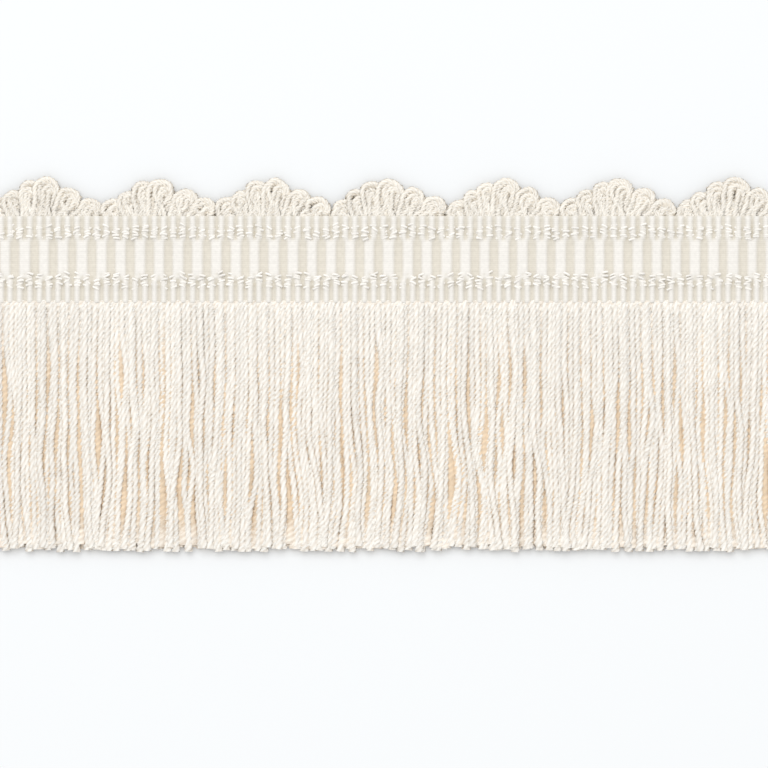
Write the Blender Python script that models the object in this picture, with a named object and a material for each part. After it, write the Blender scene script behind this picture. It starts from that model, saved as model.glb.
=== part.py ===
"""Cut fringe trim: a woven heading, a scalloped edge of yarn loops above it and a skirt of cut yarns below it.

The trim lies flat on its back. X runs along its length, the skirt points to -Y and +Z is up. Units are metres.
Its origin is at the middle of its underside.
"""

import math
import random

import bmesh
import bpy
from mathutils import Vector

MM = 0.001
COLLECTION_NAME = "Cut fringe trim"

# Driving sizes along the length
RIB_PITCH = 3.3 * MM
RIBS_PER_SCALLOP = 6
SCALLOPS = 7
RIBS = RIBS_PER_SCALLOP * SCALLOPS
LENGTH = RIBS * RIB_PITCH

# Driving sizes across the width
HEADING_WIDTH = 15.0 * MM
SKIRT_LENGTH = 42.0 * MM
STRIP_WIDTH = 0.5 * MM
PIECE_GAP = 0.3 * MM

# Places across the width, from the foot of the skirt upwards
FRINGE_STRIP_BOTTOM = SKIRT_LENGTH
FRINGE_STRIP_TOP = FRINGE_STRIP_BOTTOM + STRIP_WIDTH
HEADING_BOTTOM = FRINGE_STRIP_TOP + PIECE_GAP
HEADING_TOP = HEADING_BOTTOM + HEADING_WIDTH
LOOP_STRIP_BOTTOM = HEADING_TOP + PIECE_GAP
LOOP_STRIP_TOP = LOOP_STRIP_BOTTOM + STRIP_WIDTH

# Rows of the heading, from its upper edge to its lower edge. "down" is the distance below the upper edge,
# "step" is the share of the stair pattern that moves the row, "inner" and "outer" are half widths within a rib,
# and the rest are heights: between ribs, at the outer points, at the inner points and on the rib's middle line.
# The satin rows are highest between ribs, because each satin panel lies over the join of two ribs.
HEADING_ROWS = (
    # down, step, inner, outer, z_between, z_outer, z_inner, z_middle
    (0.00, 0.0, 0.36, 1.30, 1.00, 1.50, 1.50, 1.05),
    (1.75, 1.0, 0.36, 1.30, 1.00, 1.50, 1.50, 1.05),
    (1.95, 1.0, 0.50, 1.36, 1.20, 1.80, 1.85, 1.70),
    (3.80, 0.6, 0.50, 1.36, 1.20, 1.80, 1.85, 1.70),
    (4.00, 0.6, 0.51, 0.81, 1.65, 1.55, 1.05, 0.95),
    (9.70, 0.6, 0.51, 0.81, 1.65, 1.55, 1.05, 0.95),
    (9.90, 0.6, 0.50, 1.36, 1.20, 1.80, 1.85, 1.70),
    (12.10, 1.0, 0.50, 1.36, 1.20, 1.80, 1.85, 1.70),
    (12.30, 1.0, 0.36, 1.30, 1.00, 1.50, 1.50, 1.05),
    (15.00, 0.0, 0.36, 1.30, 1.00, 1.50, 1.50, 1.05),
)
STAIR_STEP = 0.55 * MM
STAIR_RIBS = 2

# Loops of one scallop, from its left valley: the loop's height, how much its right side is longer than its left,
# and the notch that it shares with the next loop: its height, and its distance along the length from the valley.
SCALLOP_LOOPS = (
    # height, slant, notch_height, notch_x
    (1.80, 0.9, 2.0, 3.9),
    (3.50, 1.1, 3.5, 6.8),
    (5.35, 0.8, 5.0, 10.1),
    (5.15, -0.8, 3.7, 13.5),
    (3.50, -1.1, 2.3, 16.4),
    (2.00, -1.0, 1.2, 19.8),
)
LOOP_GAP = 0.12 * MM
LOOP_HEIGHT = 1.35 * MM
# Sections of a loop from root to tip: how far along, how wide, and the heights of its side, leg and middle
LOOP_SECTIONS = (
    # along, width, z_side, z_leg, z_middle
    (0.28, 1.00, 0.60, 1.50, 0.85),
    (0.62, 1.00, 0.60, 1.60, 0.85),
    (0.85, 0.95, 0.55, 1.50, 1.20),
    (0.96, 0.78, 0.45, 1.20, 1.25),
    (1.00, 0.48, 0.35, 0.75, 0.80),
)
LOOP_COLUMNS = 4

# Skirt: two layers of strands, three to a rib in each layer
STRANDS_PER_RIB = 3
STRANDS = STRANDS_PER_RIB * RIBS
STRAND_PITCH = RIB_PITCH / STRANDS_PER_RIB
STRAND_WIDTH = 0.82 * MM
STRAND_THICKNESS = 0.90 * MM
LAYER_HEIGHT = 0.98 * MM
CUT_UNEVENNESS = 0.9 * MM
STRAND_SECTIONS = (0.16, 0.42, 0.70, 1.0)
SKIRT_SEED = 11
# Waves that sway the strands of each layer, lower layer first: their length, reach and start
LAYER_WAVES = (
    # wave_length, reach, start
    ((61.0, 0.45, 0.4), (26.0, 0.09, 2.1)),
    ((53.0, 0.40, 3.3), (21.0, 0.07, 0.7)),
)
# The lower layer's strands lie under the gaps of the upper layer
LAYER_SHIFTS = (STRAND_PITCH / 2, 0.0)
END_FADE = 16.0 * MM
# Strands gather in bunches towards the foot
BUNCH_SIZES = (2, 6)
GATHER = 0.14

# Areas flatter than this are merged into one face, and points nearer than this count as in line
FLAT_ANGLE = math.radians(0.4)
IN_LINE = 0.001 * MM


def clear_scene():
    for obj in list(bpy.data.objects):
        bpy.data.objects.remove(obj, do_unlink=True)


def make_collection():
    collection = bpy.data.collections.new(COLLECTION_NAME)
    bpy.context.scene.collection.children.link(collection)
    return collection


def make_material(name, colour, roughness):
    material = bpy.data.materials.new(name)
    material.use_nodes = True
    shader = material.node_tree.nodes["Principled BSDF"]
    shader.inputs["Base Color"].default_value = (*colour, 1.0)
    shader.inputs["Roughness"].default_value = roughness
    shader.inputs["Metallic"].default_value = 0.0
    return material


def add_object(name, bm, material, collection):
    """Closes the work on a mesh: outward faces, flat areas merged, and an object of its own."""
    bmesh.ops.recalc_face_normals(bm, faces=bm.faces)
    bmesh.ops.dissolve_limit(
        bm, angle_limit=FLAT_ANGLE, verts=bm.verts, edges=bm.edges, delimit={"SEAM"}
    )
    mesh = bpy.data.meshes.new(name)
    bm.to_mesh(mesh)
    bm.free()
    mesh.materials.append(material)
    obj = bpy.data.objects.new(name, mesh)
    collection.objects.link(obj)
    return obj


def new_verts(grown):
    """The points that an extrusion made."""
    return [item for item in grown["geom"] if isinstance(item, bmesh.types.BMVert)]


def upright_wall(columns, layers, height, y_face, y_back):
    """A strip along X whose face at y_face is divided into cells, as (bmesh, cells by column and layer)."""
    bm = bmesh.new()
    bmesh.ops.create_grid(bm, x_segments=columns, y_segments=layers, size=0.5)
    for vert in bm.verts:
        vert.co = Vector((vert.co.x * LENGTH, y_face, (vert.co.y + 0.5) * height))
    front = list(bm.faces)
    grown = bmesh.ops.extrude_face_region(bm, geom=front, use_keep_orig=True)
    for vert in new_verts(grown):
        vert.co.y = y_back
    cells = {}
    for face in front:
        centre = face.calc_center_median()
        column = int((centre.x / LENGTH + 0.5) * columns)
        layer = int(centre.z / height * layers)
        cells[column, layer] = face
    return bm, cells


def mark_rib_seams(bm):
    """Keeps the upright edges between ribs when flat areas are merged, so that no long thin triangles appear."""
    for edge in bm.edges:
        first, second = (vert.co for vert in edge.verts)
        upright = (first - second).xy.length < IN_LINE
        off_rib = abs(first.x - round(first.x / RIB_PITCH) * RIB_PITCH)
        if upright and off_rib < IN_LINE:
            edge.seam = True


def stair_offset(rib):
    """How far the binding is moved on this rib: it climbs in steps and starts again."""
    return STAIR_STEP * ((rib % STAIR_RIBS) / (STAIR_RIBS - 1) - 0.5)


def build_heading(material, collection):
    """The woven band: a grid with six columns to a rib, raised into bars, binding and satin, over a flat back."""
    columns_per_rib = 6
    columns = RIBS * columns_per_rib
    rows = len(HEADING_ROWS)
    bm = bmesh.new()
    bmesh.ops.create_grid(bm, x_segments=columns, y_segments=rows - 1, size=0.5)
    for vert in bm.verts:
        column = round((vert.co.x + 0.5) * columns)
        row = rows - 1 - round((vert.co.y + 0.5) * (rows - 1))
        down, step, inner, outer, z_between, z_outer, z_inner, z_middle = HEADING_ROWS[row]
        rib, place = divmod(column, columns_per_rib)
        half = RIB_PITCH / MM / 2
        across = (-half, -outer, -inner, 0.0, inner, outer)[place]
        height = (z_between, z_outer, z_inner, z_middle, z_inner, z_outer)[place]
        stair = stair_offset(min(rib, RIBS - 1)) * step
        vert.co.x = (rib + 0.5) * RIB_PITCH + across * MM - LENGTH / 2
        vert.co.y = HEADING_TOP - down * MM + stair
        vert.co.z = height * MM
    grown = bmesh.ops.extrude_face_region(bm, geom=list(bm.faces), use_keep_orig=True)
    for vert in new_verts(grown):
        vert.co.z = 0.0
    mark_rib_seams(bm)
    return add_object("heading", bm, material, collection)


def notch_lines():
    """The lines between neighbouring loops over the whole length: each is (x at the root, lean)."""
    lines = [(-LENGTH / 2, 0.0)]
    for scallop in range(SCALLOPS):
        valley = scallop * RIBS_PER_SCALLOP * RIB_PITCH - LENGTH / 2
        for index, (_, _, notch_height, notch_x) in enumerate(SCALLOP_LOOPS):
            root = valley + (index + 1) * RIB_PITCH
            lean = (valley + notch_x * MM - root) / (notch_height * MM)
            lines.append((root, lean))
    lines[-1] = (LENGTH / 2, 0.0)
    return lines


def grow_loop(bm, roots, left, right, rise, slant):
    """One loop: its root cells are extruded section by section to a rounded tip."""
    faces = roots
    for along, width, z_side, z_leg, z_middle in LOOP_SECTIONS:
        grown = bmesh.ops.extrude_face_region(bm, geom=faces)
        bmesh.ops.delete(bm, geom=faces, context="FACES")
        verts = new_verts(grown)
        faces = [item for item in grown["geom"] if isinstance(item, bmesh.types.BMFace)]
        reach = along * rise
        x_left = left[0] + left[1] * reach + LOOP_GAP / 2
        x_right = right[0] + right[1] * reach - LOOP_GAP / 2
        middle = (x_left + x_right) / 2
        old_left = min(vert.co.x for vert in verts)
        old_right = max(vert.co.x for vert in verts)
        heights = (z_side, z_leg, z_middle, z_leg, z_side)
        for vert in verts:
            column = round((vert.co.x - old_left) / (old_right - old_left) * LOOP_COLUMNS)
            across = column / LOOP_COLUMNS - 0.5
            vert.co.x = middle + across * (x_right - x_left) * width
            vert.co.y = LOOP_STRIP_TOP + reach + across * slant * along * width
            if vert.co.z > IN_LINE:
                vert.co.z = heights[column] * MM


def build_scallop_edge(material, collection):
    """A narrow strip from which the loops grow, six to a scallop, higher in its middle than at its valleys."""
    columns = RIBS * LOOP_COLUMNS
    bm, cells = upright_wall(columns, 1, LOOP_HEIGHT, LOOP_STRIP_TOP, LOOP_STRIP_BOTTOM)
    lines = notch_lines()
    for loop in range(RIBS):
        first = loop * LOOP_COLUMNS
        roots = [cells[column, 0] for column in range(first, first + LOOP_COLUMNS)]
        height, slant, _, _ = SCALLOP_LOOPS[loop % RIBS_PER_SCALLOP]
        grow_loop(bm, roots, lines[loop], lines[loop + 1], height * MM, slant * MM)
    mark_rib_seams(bm)
    return add_object("scallop_edge", bm, material, collection)


def bunch_middles(draw):
    """For each strand of a layer, the middle of the bunch that it gathers in."""
    middles = []
    while len(middles) < STRANDS:
        size = min(draw.randint(*BUNCH_SIZES), STRANDS - len(middles))
        middles += [(len(middles) + size / 2) * STRAND_PITCH - LENGTH / 2] * size
    return middles


def strand_x(root_x, middle, layer, share):
    """Where a strand lies at this share of its length. Strands of one layer never change their order."""
    fade = min(1.0, (LENGTH / 2 - abs(root_x)) / END_FADE)
    sway = 0.0
    for wave_length, reach, start in LAYER_WAVES[layer]:
        sway += reach * MM * math.sin(2 * math.pi * root_x / (wave_length * MM) + start)
    gathered = (middle - root_x) * GATHER * share**2
    return root_x + gathered + fade * (LAYER_SHIFTS[layer] + sway * share**1.4)


def build_fringe(material, collection):
    """A narrow strip whose cells are drawn out into strands: the lower layer rests on the surface, level."""
    layers = len(LAYER_WAVES)
    strip_height = layers * LAYER_HEIGHT
    bm, cells = upright_wall(STRANDS, layers, strip_height, FRINGE_STRIP_BOTTOM, FRINGE_STRIP_TOP)
    draw = random.Random(SKIRT_SEED)
    middles = [bunch_middles(draw) for _ in range(layers)]
    for (column, layer), face in sorted(cells.items()):
        length = SKIRT_LENGTH - CUT_UNEVENNESS * draw.random()
        if column == STRANDS // 2:
            length = SKIRT_LENGTH
        root_x = (column + 0.5) * STRAND_PITCH - LENGTH / 2
        for share in STRAND_SECTIONS:
            face = bmesh.ops.extrude_discrete_faces(bm, faces=[face])["faces"][0]
            centre = face.calc_center_median()
            x = strand_x(root_x, middles[layer][column], layer, share)
            for vert in face.verts:
                side = math.copysign(STRAND_WIDTH / 2, vert.co.x - centre.x)
                top = STRAND_THICKNESS if vert.co.z > centre.z else 0.0
                vert.co = Vector((x + side, SKIRT_LENGTH - share * length, layer * LAYER_HEIGHT + top))
    mark_rib_seams(bm)
    return add_object("fringe", bm, material, collection)


def centre_on_origin(objects):
    """Moves the whole trim so that the origin is at the middle of its underside."""
    points = [obj.data.vertices[i].co for obj in objects for i in range(len(obj.data.vertices))]
    low = Vector(min(point[axis] for point in points) for axis in range(3))
    high = Vector(max(point[axis] for point in points) for axis in range(3))
    for obj in objects:
        obj.location = (-(low.x + high.x) / 2, -(low.y + high.y) / 2, -low.z)


def main():
    clear_scene()
    collection = make_collection()
    weave = make_material("Woven heading", (0.83, 0.79, 0.71), 0.55)
    loops = make_material("Loop yarn", (0.86, 0.82, 0.74), 0.50)
    yarn = make_material("Skirt yarn", (0.86, 0.80, 0.70), 0.50)
    pieces = [
        build_heading(weave, collection),
        build_scallop_edge(loops, collection),
        build_fringe(yarn, collection),
    ]
    centre_on_origin(pieces)
    bpy.context.view_layer.update()


main()
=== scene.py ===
# %% [markdown]
# # A length of cut fringe trim
#
# The real trim is made in three steps on a narrow loom. A heading is woven with satin ribs between
# two bands of wrapped bars, gimp loops are caught along its upper edge to make scallops, and a skirt
# of twisted yarns hangs from its lower edge and is cut level.
#
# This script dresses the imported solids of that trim. The frame comes first, because every later piece
# takes its place and its size from it.

# %% Load the frame
import itertools
import math

import bpy
import numpy as np
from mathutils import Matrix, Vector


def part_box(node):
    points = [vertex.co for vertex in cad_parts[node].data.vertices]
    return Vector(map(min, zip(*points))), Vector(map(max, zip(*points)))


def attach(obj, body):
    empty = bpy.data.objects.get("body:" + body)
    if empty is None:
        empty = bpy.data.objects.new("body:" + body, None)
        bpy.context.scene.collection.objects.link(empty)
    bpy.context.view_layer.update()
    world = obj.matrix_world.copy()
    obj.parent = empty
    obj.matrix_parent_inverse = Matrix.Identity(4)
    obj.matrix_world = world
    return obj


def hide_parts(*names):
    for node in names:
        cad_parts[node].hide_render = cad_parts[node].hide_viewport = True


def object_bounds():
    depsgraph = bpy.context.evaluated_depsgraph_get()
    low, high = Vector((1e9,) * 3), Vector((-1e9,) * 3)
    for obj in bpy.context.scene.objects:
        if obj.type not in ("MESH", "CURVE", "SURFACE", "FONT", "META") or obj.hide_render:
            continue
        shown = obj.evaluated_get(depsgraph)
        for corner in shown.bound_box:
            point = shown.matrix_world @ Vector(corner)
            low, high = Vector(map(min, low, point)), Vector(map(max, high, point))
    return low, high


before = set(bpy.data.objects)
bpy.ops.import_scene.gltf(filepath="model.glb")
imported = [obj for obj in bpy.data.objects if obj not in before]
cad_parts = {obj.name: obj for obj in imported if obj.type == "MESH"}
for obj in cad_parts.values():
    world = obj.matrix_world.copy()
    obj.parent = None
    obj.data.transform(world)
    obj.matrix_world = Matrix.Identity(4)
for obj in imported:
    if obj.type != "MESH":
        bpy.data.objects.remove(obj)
cad_low, cad_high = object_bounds()
heading_low, heading_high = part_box("heading")
skirt_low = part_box("fringe")[0]
print("CAD box, mm:", [round(value * 1000, 2) for value in (*cad_low, *cad_high)])

# %% [markdown]
# ## Driving sizes
#
# A trim like this is set out from its ribs. Six ribs make one scallop and each rib carries two wrapped
# bars, so the width of one rib gives every place along the length.

# %% Driving sizes
MM = 0.001
RIBS = 42
RIBS_PER_SCALLOP = 6
BARS_PER_RIB = 2
rib_pitch = (heading_high.x - heading_low.x) / RIBS
bar_pitch = rib_pitch / BARS_PER_RIB
scallop_length = rib_pitch * RIBS_PER_SCALLOP
scallops = RIBS // RIBS_PER_SCALLOP
trim_start = heading_low.x
trim_length = heading_high.x - heading_low.x
print(f"rib {rib_pitch / MM:.2f} mm, bar {bar_pitch / MM:.2f} mm, {scallops} scallops")

# %% [markdown]
# ## Camera
#
# The photograph is a flat lay seen from straight above. A long lens far away keeps the yarns at the
# edges as upright as those in the middle. The camera's height follows from the width of the view, which
# is the width of the picture in pixels times the size of one pixel on the trim.

# %% Camera
PIXEL = 0.1725 * MM
PICTURE_PIXELS = 768
TRIM_MIDDLE_COLUMN = 388.5
SKIRT_FOOT_ROW = 551
LENS = 200.0
SENSOR = 36.0

camera_data = bpy.data.cameras.new("overhead_camera")
camera_data.lens = LENS
camera_data.sensor_width = SENSOR
camera_data.clip_end = 10.0
camera = bpy.data.objects.new("overhead_camera", camera_data)
camera.location = (
    (PICTURE_PIXELS / 2 - TRIM_MIDDLE_COLUMN) * PIXEL,
    cad_low.y + (SKIRT_FOOT_ROW - PICTURE_PIXELS / 2) * PIXEL,
    cad_high.z / 2 + PICTURE_PIXELS * PIXEL * LENS / SENSOR,
)
bpy.context.scene.collection.objects.link(camera)
bpy.context.scene.camera = camera
print("camera at, mm:", [round(value / MM, 1) for value in camera.location])

# %% [markdown]
# ## Node helpers
#
# Both shaders and Geometry Nodes are trees of small nodes. Long sums are hard to read when each Math
# node is made by hand, so a small class stands for one socket: adding or multiplying two of them puts
# the Math node in the tree. The same class works in both kinds of tree.

# %% Node helpers
def plug(socket, value):
    """Links a flow to a socket, or sets the socket to a plain value."""
    if isinstance(value, Flow):
        value.tree.links.new(value.socket, socket)
    else:
        socket.default_value = value


def add_node(tree, kind, inputs=None, **menus):
    """Adds a node, chooses its menus and fills its sockets, which are found by name or by number."""
    made = tree.nodes.new(kind)
    for menu, choice in menus.items():
        setattr(made, menu, choice)
    for name, value in (inputs or {}).items():
        plug(made.inputs[name], value)
    return made


def flow(tree, kind, inputs=None, output=0, **menus):
    """Adds a node and gives back one of its outputs."""
    made = add_node(tree, kind, inputs, **menus)
    return Flow(tree, made.outputs[output])


class Flow:
    """One output in a node tree. A sum written with it becomes Math nodes in that tree."""

    def __init__(self, tree, socket):
        self.tree = tree
        self.socket = socket

    def maths(self, operation, *others):
        inputs = dict(enumerate((self, *others)))
        return flow(self.tree, "ShaderNodeMath", inputs, operation=operation)

    def __add__(self, other):
        return self.maths("ADD", other)

    def __sub__(self, other):
        return self.maths("SUBTRACT", other)

    def __mul__(self, other):
        return self.maths("MULTIPLY", other)

    def __truediv__(self, other):
        return self.maths("DIVIDE", other)

    def __pow__(self, other):
        return self.maths("POWER", other)

    def ramp(self, start, end, low=0.0, high=1.0):
        """Runs smoothly from low to high as this value goes from start to end."""
        inputs = {0: self, 1: start, 2: end, 3: low, 4: high}
        return flow(self.tree, "ShaderNodeMapRange", inputs, interpolation_type="SMOOTHSTEP")


def join(tree, x=0.0, y=0.0, z=0.0):
    """Makes a vector of three numbers."""
    return flow(tree, "ShaderNodeCombineXYZ", {0: x, 1: y, 2: z})


def mix_colours(tree, share, first, second):
    """A colour between two others."""
    return flow(tree, "ShaderNodeMix", {0: share, 6: first, 7: second}, output=2, data_type="RGBA")


print("a flow can be added, taken away, multiplied, divided, raised to a power and ramped")

# %% [markdown]
# ## A new tree
#
# Every group below starts in the same way: a tree, its named inputs and its named outputs. The sockets
# could be made one by one each time, but a short table of names and sorts is easier to read.

# %% New tree
SOCKETS = {
    "number": "NodeSocketFloat",
    "count": "NodeSocketInt",
    "vector": "NodeSocketVector",
    "colour": "NodeSocketColor",
    "geometry": "NodeSocketGeometry",
    "material": "NodeSocketMaterial",
}


def new_tree(name, kind, inputs, outputs):
    """Makes a node group from short tables of socket names and sorts.

    It gives back the tree, its inputs by name, and a function that fills an output.
    """
    tree = bpy.data.node_groups.new(name, kind)
    for label, sort in inputs.items():
        tree.interface.new_socket(label, in_out="INPUT", socket_type=SOCKETS[sort])
    for label, sort in outputs.items():
        tree.interface.new_socket(label, in_out="OUTPUT", socket_type=SOCKETS[sort])
    entry = tree.nodes.new("NodeGroupInput")
    given = {label: Flow(tree, entry.outputs[label]) for label in inputs}
    leave = tree.nodes.new("NodeGroupOutput")

    def finish(label, value):
        plug(leave.inputs[label], value)

    return tree, given, finish


print("sorts of socket:", ", ".join(SOCKETS))

# %% [markdown]
# ## What the finishes share
#
# All the yarns and threads are one cream viscose. It is brightest where light falls straight on a ply,
# and turns to a warm tan where light has bounced between the yarns. The lamps alone would need many
# bounces for that, so a warm tan shade is painted into the colour in each groove and deeper in the pile,
# and each groove between plies is painted darker as well. Every material uses it, so it is a shader
# group. A second group gives the height of the fine fibres, which break the light up along a ply.

# %% Shader groups
GROOVE_TAN_SHADE = 0.32
GROOVE_SHADE = 0.20
CLOUD_SCALE = 160.0
FLECK_SCALE = 1900.0
BASE_LIGHT = 0.865
TONE_LIGHT = 0.07
CLOUD_LIGHT = 0.06
FLECK_LIGHT = 0.16


def make_cream_group():
    """Colour from a yarn's own tone, with painted shade: darker and tan in the grooves, tan deep in the
    pile.
    """
    tree, given, finish = new_tree(
        "Cream yarn colour and painted shade",
        "ShaderNodeTree",
        {
            "Cream": "colour",
            "Shade tan": "colour",
            "Tone": "number",
            "Groove": "number",
            "Depth": "number",
            "Position": "vector",
        },
        {"Color": "colour"},
    )
    inputs = {"Vector": given["Position"], "Scale": CLOUD_SCALE, "Detail": 2.0}
    cloud = flow(tree, "ShaderNodeTexNoise", inputs)
    # painted shade: a warm tan is mixed into the cream in the grooves and deep in the pile
    painted_shade_share = (given["Groove"] * GROOVE_TAN_SHADE + given["Depth"]).maths("MINIMUM", 1.0)
    colour = mix_colours(tree, painted_shade_share, given["Cream"], given["Shade tan"])
    inputs = {"Vector": given["Position"], "Scale": FLECK_SCALE, "Detail": 1.0}
    fleck = flow(tree, "ShaderNodeTexNoise", inputs)
    light = given["Tone"] * TONE_LIGHT + cloud * CLOUD_LIGHT + fleck * FLECK_LIGHT + BASE_LIGHT
    # painted shade: each groove between two plies is painted darker
    shaded = light - given["Groove"] * GROOVE_SHADE
    bright = flow(tree, "ShaderNodeHueSaturation", {"Color": colour, "Value": shaded})
    finish("Color", bright)
    return tree


def make_fibre_group():
    """Height of the fine fibres on a yarn or thread, from fine noise."""
    tree, given, finish = new_tree(
        "Fine fibres",
        "ShaderNodeTree",
        {"Position": "vector", "Fineness": "number"},
        {"Height": "number"},
    )
    inputs = {"Vector": given["Position"], "Scale": given["Fineness"], "Detail": 3.0}
    finish("Height", flow(tree, "ShaderNodeTexNoise", inputs))
    return tree


cream_group = make_cream_group()
fibre_group = make_fibre_group()
print("shader groups:", cream_group.name, "and", fibre_group.name)

# %% [markdown]
# ## Materials
#
# Each material puts the two groups before its own Principled shader. A yarn mesh carries three
# attributes that its tree of nodes wrote: tone is the yarn's own lightness, groove is 1 between two
# plies, where shade is painted, and the third says how much warm tan shade is painted, up to 1 at the
# bottom of the pile. Viscose has a soft gloss, so the roughness is middling and a little sheen stands
# for the fine fibres that stand off the yarn.

# %% Materials
ROUGHNESS = 0.40
SHEEN_ROUGHNESS = 0.4
SPECULAR = 0.35
FINISHES = {
    # slot: cream, tan of the painted shade, sheen, fineness of the fibres and how high they stand
    "skirt_yarn": ((0.93, 0.915, 0.87), (0.79, 0.62, 0.44), 0.15, 6000.0, 0.04 * MM),
    "loop_yarn": ((0.905, 0.875, 0.815), (0.84, 0.71, 0.53), 0.15, 6000.0, 0.04 * MM),
    "heading_weave": ((0.78, 0.755, 0.712), (0.65, 0.605, 0.515), 0.10, 5000.0, 0.03 * MM),
}


def make_material(name, cream, shade_tan, sheen, fineness, fibre_height):
    """A cream textile finish that reads its mesh's tone and the two attributes that paint shade on it.
    """
    material = bpy.data.materials.new(name)
    material.use_nodes = True
    tree = material.node_tree
    shader = tree.nodes["Principled BSDF"]
    position = flow(tree, "ShaderNodeTexCoord", output="Object")
    parts = {
        label: flow(tree, "ShaderNodeAttribute", output="Fac", attribute_name=label.lower())
        for label in ("Tone", "Groove", "Depth")
    }
    inputs = {"Cream": (*cream, 1.0), "Shade tan": (*shade_tan, 1.0), "Position": position, **parts}
    colour = tree.nodes.new("ShaderNodeGroup")
    colour.node_tree = cream_group
    for label, value in inputs.items():
        plug(colour.inputs[label], value)
    plug(shader.inputs["Base Color"], Flow(tree, colour.outputs[0]))
    fibres = tree.nodes.new("ShaderNodeGroup")
    fibres.node_tree = fibre_group
    plug(fibres.inputs["Position"], position)
    plug(fibres.inputs["Fineness"], fineness)
    bump = add_node(tree, "ShaderNodeBump", {"Height": Flow(tree, fibres.outputs[0])})
    bump.inputs["Distance"].default_value = fibre_height
    plug(shader.inputs["Normal"], Flow(tree, bump.outputs[0]))
    shader.inputs["Roughness"].default_value = ROUGHNESS
    shader.inputs["Sheen Weight"].default_value = sheen
    shader.inputs["Sheen Roughness"].default_value = SHEEN_ROUGHNESS
    shader.inputs["Specular IOR Level"].default_value = SPECULAR
    return material


finishes = {name: make_material(name, *values) for name, values in FINISHES.items()}
print("materials:", ", ".join(finishes))

# %% [markdown]
# ## How a piece grows from a tree
#
# A Geometry Nodes tree runs as a modifier. Its inputs are set by their identifiers before it is first
# evaluated, then the evaluated result is copied to a plain mesh and the maker object is thrown away.
# What stays is an object at the origin with its place in its mesh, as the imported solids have.

# %% Grow a piece
def grow(name, tree, values, source=None):
    """Runs a tree on an object's data, or on an empty mesh, and keeps what it makes as a plain mesh."""
    data = source or bpy.data.meshes.new(name + "_maker")
    maker = bpy.data.objects.new(name + "_maker", data)
    bpy.context.scene.collection.objects.link(maker)
    modifier = maker.modifiers.new("tree", "NODES")
    modifier.node_group = tree
    for item in tree.interface.items_tree:
        if item.in_out == "INPUT" and item.name in values:
            modifier[item.identifier] = values[item.name]
    graph = bpy.context.evaluated_depsgraph_get()
    mesh = bpy.data.meshes.new_from_object(maker.evaluated_get(graph))
    maker.modifiers.remove(modifier)
    bpy.data.objects.remove(maker)
    mesh.name = name
    piece = bpy.data.objects.new(name, mesh)
    bpy.context.scene.collection.objects.link(piece)
    triangles = sum(len(polygon.vertices) - 2 for polygon in mesh.polygons)
    print(f"{name}: {triangles} triangles")
    return piece


print("grown pieces go to", bpy.context.scene.collection.name)

# %% [markdown]
# ## Helpers for yarns
#
# Real yarns are never quite alike. Two small helpers give that: smooth noise, which drifts along a yarn,
# and a random number that is the same all along one yarn and differs from yarn to yarn. Both are fixed
# by a seed, so the trim comes out the same each time.

# %% Helpers for yarns
def centred_noise(tree, across, along, detail=0.0):
    """Smooth noise from -1 to 1 over two numbers."""
    inputs = {"Vector": join(tree, across, along), "Scale": 1.0, "Detail": detail}
    return flow(tree, "ShaderNodeTexNoise", inputs, noise_dimensions="2D") * 2.0 - 1.0


def for_each_yarn(tree, low, high, seed):
    """A random number that is the same all along one curve."""
    index = flow(tree, "GeometryNodeInputIndex")
    inputs = {2: low, 3: high, 7: index, 8: seed}
    own = flow(tree, "FunctionNodeRandomValue", inputs, output=1)
    return flow(tree, "GeometryNodeFieldOnDomain", {0: own}, domain="CURVE")


def store(tree, geometry, name, value):
    """Writes a number on each point, where the material can read it."""
    inputs = {"Geometry": geometry, "Name": name, "Value": value}
    return flow(tree, "GeometryNodeStoreNamedAttribute", inputs, data_type="FLOAT", domain="POINT")


def height_of_point(tree):
    """How high each point lies."""
    place = flow(tree, "GeometryNodeInputPosition")
    return flow(tree, "ShaderNodeSeparateXYZ", {0: place}, output=2)


print("yarn helpers ready: noise, random numbers, stored numbers, height")

# %% [markdown]
# ## Section of a yarn
#
# A yarn is made of plies laid round each other, so a cut through it shows three lobes. Modelling each
# ply as its own tube would triple the faces. One circle whose points are drawn in between the plies does
# as well, and the same wave that draws them in is kept as the groove, where the finish paints shade.

# %% Section of a yarn
PLIES = 3
PLY_LEAN = 0.52


def lobed_section(tree, given):
    """The outline of a yarn, with a groove between each two plies."""
    section_points = given["Points per ply"] * PLIES
    inputs = {"Resolution": section_points, "Radius": given["Diameter"] / 2}
    circle = flow(tree, "GeometryNodeCurvePrimitiveCircle", inputs)
    point = flow(tree, "GeometryNodeInputIndex")
    groove = (point / given["Points per ply"] * math.tau + PLY_LEAN).maths("COSINE") * 0.5 + 0.5
    size = (groove * given["Groove"]) * -1.0 + 1.0
    place = flow(tree, "GeometryNodeInputPosition")
    scaled = flow(tree, "ShaderNodeVectorMath", {0: place, "Scale": size}, operation="SCALE")
    lobed = flow(tree, "GeometryNodeSetPosition", {"Geometry": circle, "Position": scaled})
    return store(tree, lobed, "groove", groove)


print("a yarn has", PLIES, "plies")

# %% [markdown]
# ## Twisted yarn
#
# The section is swept along a path, and its tilt turns once for each length of lay. The ridges then run
# up the yarn as slanting strokes, as the plies do, and a little noise in the turn keeps the strokes of
# neighbouring yarns from lining up. The swept yarn is pressed flatter, as a soft yarn is by those beside
# it.
#
# The tree also writes what the finish reads: the yarn's own tone and how much warm tan shade is painted
# on it, which grows with depth in the pile. The painted shade grows down the yarn's lower sides as well,
# because the light that gets into a thin slit has already bounced off warm yarn.

# %% Twisted yarn group
UNEVEN_TWIST = 0.26
UNEVEN_RATE = 0.9
NOISE_STEP = 50.0
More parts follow.
